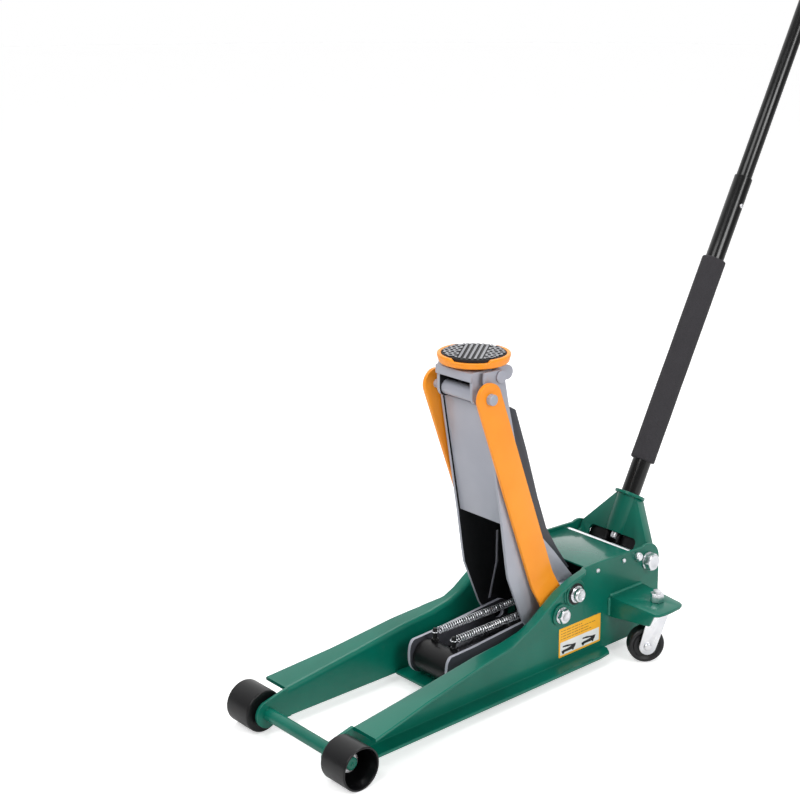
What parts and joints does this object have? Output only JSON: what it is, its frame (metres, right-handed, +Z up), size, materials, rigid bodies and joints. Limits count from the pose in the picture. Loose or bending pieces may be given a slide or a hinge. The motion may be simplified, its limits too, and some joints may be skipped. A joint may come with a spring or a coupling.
{
  "type": "hydraulic floor jack",
  "caption": "Low-profile hydraulic trolley jack, raised: steel side frame on rollers and casters, lift arm with level saddle, pumping handle with foam grip.",
  "frame": {"origin": "centre of the whole object's box, at the floor", "axes": "+X from the saddle end to the handle end, +Z up, left side at -Y"},
  "size_m": [1.2576, 0.344, 1.2236],
  "materials": {
    "frame_green": "gloss",
    "cover_green": "satin",
    "arm_grey": "satin",
    "link_orange": "gloss",
    "gloss_black": "gloss",
    "yoke_grey": "satin",
    "bright_zinc": "zinc plated",
    "machined_steel": "ground",
    "wheel_rubber": "matte",
    "pad_rubber": "ribbed",
    "grip_foam": "foam"
  },
  "bodies": {
    "frame": {"side_plate_left": "frame_green", "side_plate_right": "frame_green", "front_cross_plate": "frame_green", "rear_base_plate": "frame_green", "cover_plate": "cover_green", "tie_rod": "bright_zinc", "cover_screw_front_left": "bright_zinc", "cover_screw_rear_left": "bright_zinc", "cover_screw_front_right": "bright_zinc", "cover_screw_rear_right": "bright_zinc", "front_axle": "frame_green", "axle_ring_left": "bright_zinc", "axle_ring_right": "bright_zinc", "caster_bracket_left": "frame_green", "caster_bracket_right": "frame_green", "main_shaft": "machined_steel", "main_shaft_bolt_left": "bright_zinc", "main_shaft_bolt_right": "bright_zinc", "link_pivot_bolt_left": "bright_zinc", "link_pivot_bolt_right": "bright_zinc", "handle_pivot_bolt_left": "bright_zinc", "handle_pivot_bolt_right": "bright_zinc", "hydraulic_cylinder": "gloss_black", "pump_block": "gloss_black", "return_spring_left": "bright_zinc", "return_spring_right": "bright_zinc", "pump_spring": "bright_zinc"},
    "front_roller_left": {"front_roller_left": "gloss_black"},
    "front_roller_right": {"front_roller_right": "gloss_black"},
    "caster_fork_left": {"caster_fork_left": "bright_zinc", "caster_axle_left": "bright_zinc"},
    "caster_wheel_left": {"caster_wheel_left": "wheel_rubber"},
    "caster_fork_right": {"caster_fork_right": "bright_zinc", "caster_axle_right": "bright_zinc"},
    "caster_wheel_right": {"caster_wheel_right": "wheel_rubber"},
    "lift_arm": {"arm_plate_left": "arm_grey", "arm_plate_right": "arm_grey", "arm_front_plate": "arm_grey", "arm_rear_plate": "yoke_grey", "arm_base_tube": "yoke_grey", "saddle_pin_left": "arm_grey", "saddle_pin_right": "arm_grey"},
    "links": {"link_left": "link_orange", "link_right": "link_orange"},
    "saddle_mount": {"saddle_bracket": "arm_grey", "link_pin": "arm_grey"},
    "saddle": {"saddle_cup": "link_orange", "saddle_pad": "pad_rubber"},
    "ram_and_yoke": {"yoke_plate_left": "yoke_grey", "yoke_plate_right": "yoke_grey", "yoke_crossbar": "gloss_black", "ram": "machined_steel"},
    "pump_plunger": {"pump_plunger": "machined_steel"},
    "valve_stem": {"valve_stem": "bright_zinc"},
    "handle_socket": {"handle_socket": "frame_green"},
    "handle": {"handle_lower_tube": "gloss_black", "handle_upper_tube": "gloss_black", "foam_grip": "grip_foam", "end_cap": "wheel_rubber"},
    "snap_button": {"snap_button": "bright_zinc"}
  },
  "joints": [
    {"name": "lift", "type": "hinge", "parent": "frame", "child": "lift_arm", "pos_m": [-0.14181, 0, 0.1231], "axis": [0, -1, 0], "range_deg": [0, 79.5]},
    {"name": "link_swing", "type": "hinge", "parent": "frame", "child": "links", "pos_m": [-0.17141, 0, 0.0979], "axis": [0, -1, 0], "range_deg": [0, 79.5]},
    {"name": "saddle_level", "type": "hinge", "parent": "lift_arm", "child": "saddle_mount", "pos_m": [-0.27391, 0, 0.47641], "axis": [0, -1, 0], "range_deg": [-79.5, 0]},
    {"name": "saddle_turn", "type": "hinge", "parent": "saddle_mount", "child": "saddle", "pos_m": [-0.27991, 0, 0.47641], "axis": [0, 0, 1], "continuous": true},
    {"name": "ram_slide", "type": "slide", "parent": "frame", "child": "ram_and_yoke", "axis": [1, 0, 0], "range_m": [0, 0.0891], "deforming": ["return_spring_left", "return_spring_right"]},
    {"name": "handle_swing", "type": "hinge", "parent": "frame", "child": "handle_socket", "pos_m": [0.02589, 0, 0.1292], "axis": [0, 1, 0], "range_deg": [-26.5, 45]},
    {"name": "handle_twist", "type": "hinge", "parent": "handle_socket", "child": "handle", "pos_m": [0.02589, 0, 0.1292], "axis": [0.4779, 0, 0.8784], "range_deg": [-90, 90]},
    {"name": "valve_turn", "type": "hinge", "parent": "frame", "child": "valve_stem", "pos_m": [-0.01881, 0, 0.1292], "axis": [1, 0, 0], "range_deg": [-90, 90]},
    {"name": "pump_stroke", "type": "slide", "parent": "frame", "child": "pump_plunger", "axis": [1, 0, 0], "range_m": [-0.0156, 0.0092], "deforming": ["pump_spring"]},
    {"name": "button_press", "type": "slide", "parent": "handle", "child": "snap_button", "axis": [0, 1, 0], "range_m": [0, 0.003], "stiffness_N_per_m": 800},
    {"name": "roller_spin_left", "type": "hinge", "parent": "frame", "child": "front_roller_left", "pos_m": [-0.59881, -0.1049, 0.03], "axis": [0, 1, 0], "continuous": true},
    {"name": "caster_swivel_left", "type": "hinge", "parent": "frame", "child": "caster_fork_left", "pos_m": [-0.02181, -0.135, 0.087], "axis": [0, 0, 1], "continuous": true},
    {"name": "caster_spin_left", "type": "hinge", "parent": "caster_fork_left", "child": "caster_wheel_left", "pos_m": [-0.03526, -0.12579, 0.0282], "axis": [-0.565, -0.8251, 0], "continuous": true},
    {"name": "roller_spin_right", "type": "hinge", "parent": "frame", "child": "front_roller_right", "pos_m": [-0.59881, 0.1049, 0.03], "axis": [0, 1, 0], "continuous": true},
    {"name": "caster_swivel_right", "type": "hinge", "parent": "frame", "child": "caster_fork_right", "pos_m": [-0.02181, 0.135, 0.087], "axis": [0, 0, 1], "continuous": true},
    {"name": "caster_spin_right", "type": "hinge", "parent": "caster_fork_right", "child": "caster_wheel_right", "pos_m": [-0.03526, 0.14421, 0.0282], "axis": [-0.565, -0.8251, 0], "continuous": true}
  ],
  "couplings": [
    {"joint": "link_swing", "follows": "lift", "ratio": 1},
    {"joint": "saddle_level", "follows": "lift", "ratio": -1},
    {"joint": "ram_slide", "follows": "lift", "m_per_rad": 0.0641},
    {"joint": "pump_stroke", "follows": "handle_swing", "m_per_rad": -0.0198},
    {"joint": "valve_turn", "follows": "handle_twist", "ratio": 1}
  ]
}
